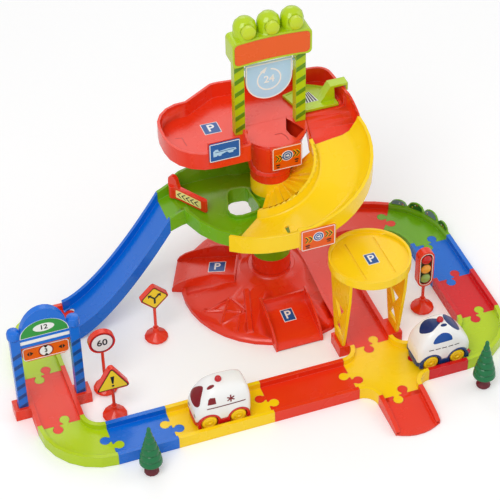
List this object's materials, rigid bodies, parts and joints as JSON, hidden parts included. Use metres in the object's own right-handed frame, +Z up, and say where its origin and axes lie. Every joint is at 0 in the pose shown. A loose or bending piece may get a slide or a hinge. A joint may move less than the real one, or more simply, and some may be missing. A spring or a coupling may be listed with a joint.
{
  "type": "toy garage play set",
  "caption": "Toy garage tower with a spiral ramp, a slide and a parking deck, on a loop of snap-together road with gates, signs, trees and push cars.",
  "frame": {"origin": "on the floor, on the axis of the tower's column", "axes": "+X to the right along the front road, +Y to the back, +Z up"},
  "size_m": [0.921, 0.6495, 0.601],
  "materials": {
    "lime": "moulded plastic, smooth and glossy",
    "blue": "moulded plastic, smooth and glossy",
    "yellow": "moulded plastic, smooth and glossy",
    "red": "moulded plastic, smooth and glossy",
    "deep_red": "moulded plastic, smooth and glossy",
    "green": "moulded plastic, smooth and glossy",
    "sky": "moulded plastic, smooth and glossy",
    "orange": "moulded plastic, smooth and glossy",
    "lens": "moulded plastic, smooth and glossy",
    "sign_blue": "moulded plastic, smooth and glossy",
    "maroon": "moulded plastic, smooth and glossy",
    "tree_green": "moulded plastic, smooth and glossy",
    "ambulance_white": "moulded plastic, smooth and glossy",
    "patrol_car_white": "moulded plastic, smooth and glossy",
    "wheel_yellow": "moulded plastic, smooth and glossy",
    "navy": "moulded plastic, smooth and glossy",
    "lamp_red": "moulded plastic, smooth and glossy"
  },
  "bodies": {
    "root": {"back_track": "red", "base_plate": "red", "beacon_lens_a": "lens", "beacon_lens_b": "lens", "beacon_lens_c": "lens", "blue_slide": "blue", "bush_corner": "green", "corner_left": "lime", "corner_right": "lime", "corner_slide": "lime", "crossroads_sign_foot": "red", "crossroads_sign_head": "red", "deck_gate_frame": "lime", "deck_gate_header": "orange", "exit_ramp": "red", "gate_track": "red", "green_level": "green", "junction": "yellow", "landing_pad": "yellow", "long_track": "red", "lower_arrow_sign": "orange", "lower_column": "red", "parking_deck": "red", "speed_sign_foot": "red", "speed_sign_head": "red", "street_gate_frame": "blue", "tow_sign": "sign_blue", "track_blue_front": "blue", "track_blue_right": "blue", "track_link": "red", "track_red_front": "red", "track_red_right": "deep_red", "track_red_short": "deep_red", "track_yellow": "yellow", "traffic_light_foot": "red", "traffic_light_head": "red", "tree_left_base": "maroon", "tree_left_crown": "tree_green", "tree_right_base": "maroon", "tree_right_crown": "tree_green", "upper_arrow_sign": "orange", "upper_column": "red", "warning_sign_foot": "red", "warning_sign_head": "red", "yellow_spiral": "yellow"},
    "launch_plate": {"launch_plate": "lime"},
    "deck_gate_flap": {"deck_gate_flap": "sky"},
    "street_gate_flap": {"street_gate_flap": "orange"},
    "diverter_arm": {"diverter_arm": "red"},
    "ambulance": {"ambulance_body": "ambulance_white", "ambulance_chassis": "deep_red", "ambulance_beacon": "lamp_red"},
    "patrol_car": {"patrol_car_body": "patrol_car_white", "patrol_car_chassis": "navy", "patrol_car_beacon": "lamp_red"},
    "ambulance_wheels_front": {"ambulance_wheels_front": "wheel_yellow"},
    "ambulance_wheels_rear": {"ambulance_wheels_rear": "wheel_yellow"},
    "patrol_car_wheels_front": {"patrol_car_wheels_front": "wheel_yellow"},
    "patrol_car_wheels_rear": {"patrol_car_wheels_rear": "wheel_yellow"}
  },
  "joints": [
    {"name": "launch_plate_hinge", "type": "hinge", "parent": "root", "child": "launch_plate", "pos_m": [0.1115, 0.0445, 0.3605], "axis": [1, 0, 0], "range_deg": [0, 20]},
    {"name": "deck_gate_hinge", "type": "hinge", "parent": "root", "child": "deck_gate_flap", "pos_m": [0.0095, 0.03, 0.491], "axis": [1, 0, 0], "range_deg": [-80, 80]},
    {"name": "street_gate_hinge", "type": "hinge", "parent": "root", "child": "street_gate_flap", "pos_m": [-0.4815, -0.172, 0.1575], "axis": [1, 0, 0], "range_deg": [-70, 70]},
    {"name": "diverter_turn", "type": "hinge", "parent": "root", "child": "diverter_arm", "pos_m": [-0.1745, 0.041, 0.2355], "axis": [0, 0, 1], "range_deg": [-12, 55]},
    {"name": "ambulance_drive", "type": "slide", "parent": "root", "child": "ambulance", "axis": [-1, 0, 0], "range_m": [-0.1, 0.15]},
    {"name": "ambulance_front_spin", "type": "hinge", "parent": "ambulance", "child": "ambulance_wheels_front", "pos_m": [-0.238, -0.3065, 0.0273], "axis": [0, -1, 0], "range_deg": [-400, 600]},
    {"name": "ambulance_rear_spin", "type": "hinge", "parent": "ambulance", "child": "ambulance_wheels_rear", "pos_m": [-0.184, -0.3065, 0.0273], "axis": [0, -1, 0], "range_deg": [-400, 600]},
    {"name": "patrol_car_drive", "type": "slide", "parent": "root", "child": "patrol_car", "axis": [1, 0, 0], "range_m": [-0.12, 0.005]},
    {"name": "patrol_car_front_spin", "type": "hinge", "parent": "patrol_car", "child": "patrol_car_wheels_front", "pos_m": [0.238, -0.3065, 0.0273], "axis": [0, 1, 0], "range_deg": [-480, 25]},
    {"name": "patrol_car_rear_spin", "type": "hinge", "parent": "patrol_car", "child": "patrol_car_wheels_rear", "pos_m": [0.186, -0.3065, 0.0273], "axis": [0, 1, 0], "range_deg": [-480, 25]}
  ],
  "couplings": [
    {"joint": "ambulance_front_spin", "follows": "ambulance_drive", "rad_per_m": 68.966},
    {"joint": "ambulance_rear_spin", "follows": "ambulance_drive", "rad_per_m": 68.966},
    {"joint": "patrol_car_front_spin", "follows": "patrol_car_drive", "rad_per_m": 68.966},
    {"joint": "patrol_car_rear_spin", "follows": "patrol_car_drive", "rad_per_m": 68.966}
  ]
}
